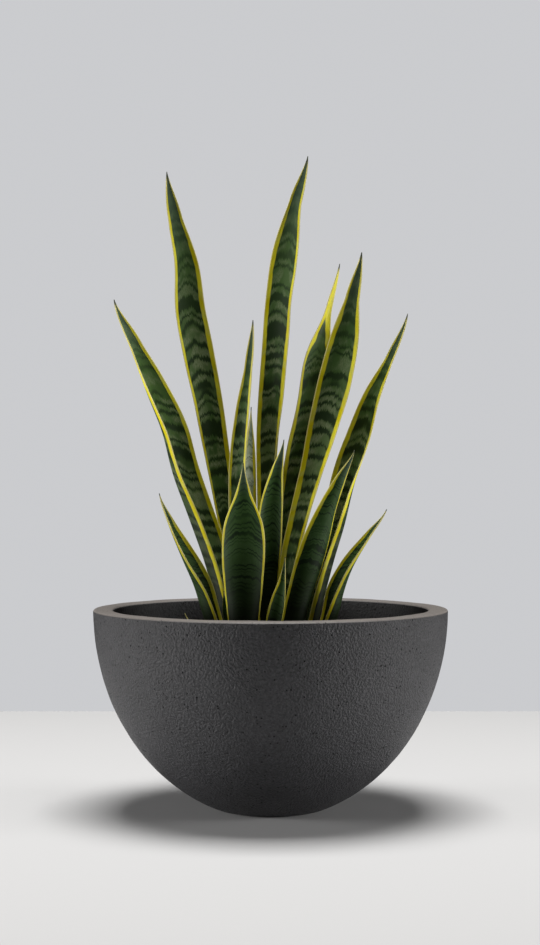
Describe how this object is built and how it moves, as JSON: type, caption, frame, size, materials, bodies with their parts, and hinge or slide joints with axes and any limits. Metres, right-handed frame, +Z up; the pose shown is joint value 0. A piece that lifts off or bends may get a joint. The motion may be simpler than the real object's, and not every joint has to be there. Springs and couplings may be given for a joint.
{
  "type": "potted snake plant",
  "caption": "Upright variegated snake plant with stiff pointed leaves, growing in potting mix in a round-bottomed bowl planter.",
  "frame": {"origin": "on the bowl's axis, on the surface that the bowl stands on", "axes": "+Z up along the bowl's axis, -Y towards the front of the plant, +X to the right seen from the front"},
  "size_m": [0.4, 0.4, 0.745],
  "materials": {
    "charcoal_stone": "matte cast fibre-cement with a fine pitted grain",
    "potting_mix": "matte crumbly bark and peat",
    "leaf_green": "waxy satin, dark green with grey-green cross bands and yellow margins"
  },
  "bodies": {
    "root": {"planter_bowl": "charcoal_stone", "potting_soil": "potting_mix", "leaf_left_outer": "leaf_green", "leaf_left_tall": "leaf_green", "leaf_centre_tall": "leaf_green", "leaf_right_back": "leaf_green", "leaf_right_tall": "leaf_green", "leaf_right_outer": "leaf_green", "leaf_right_low": "leaf_green", "leaf_left_low": "leaf_green", "leaf_front_broad": "leaf_green", "leaf_front_right": "leaf_green", "leaf_left_narrow": "leaf_green", "leaf_centre_back": "leaf_green", "leaf_front_middle": "leaf_green", "leaf_young_middle": "leaf_green", "leaf_young_left": "leaf_green", "leaf_pup": "leaf_green"}
  },
  "joints": []
}
